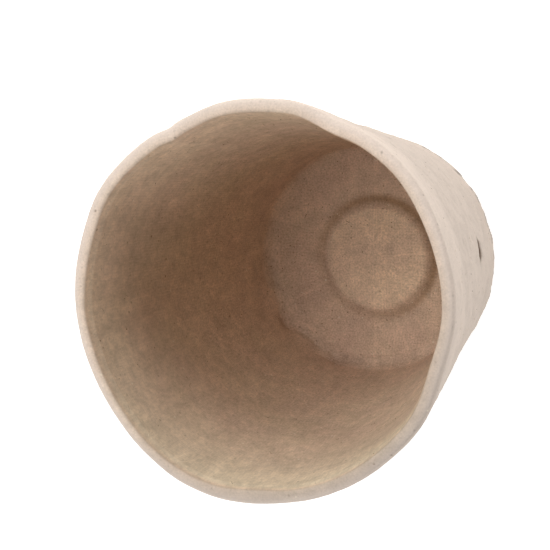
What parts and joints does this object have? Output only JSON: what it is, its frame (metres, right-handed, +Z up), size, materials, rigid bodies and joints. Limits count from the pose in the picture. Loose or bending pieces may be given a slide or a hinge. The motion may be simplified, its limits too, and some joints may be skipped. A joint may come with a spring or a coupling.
{
  "type": "peat pot",
  "caption": "Round tapered seedling pot of pressed peat and wood fibre, open at the mouth, with a rounded heel and a ring pressed into its inner floor.",
  "frame": {"origin": "on the ground plane, under the middle of the pot", "axes": "+Z up along the pot's axis, from its floor to its mouth; +X and +Y are any two level directions, because the pot is round"},
  "size_m": [0.0797, 0.0798, 0.08],
  "materials": {
    "fibre_pulp": "dry felted peat and wood fibre, very rough, pale tan-brown with darker and paler flecks"
  },
  "bodies": {
    "root": {"rim": "fibre_pulp", "side_wall": "fibre_pulp", "heel": "fibre_pulp", "floor": "fibre_pulp", "centre_disc": "fibre_pulp"}
  },
  "joints": []
}
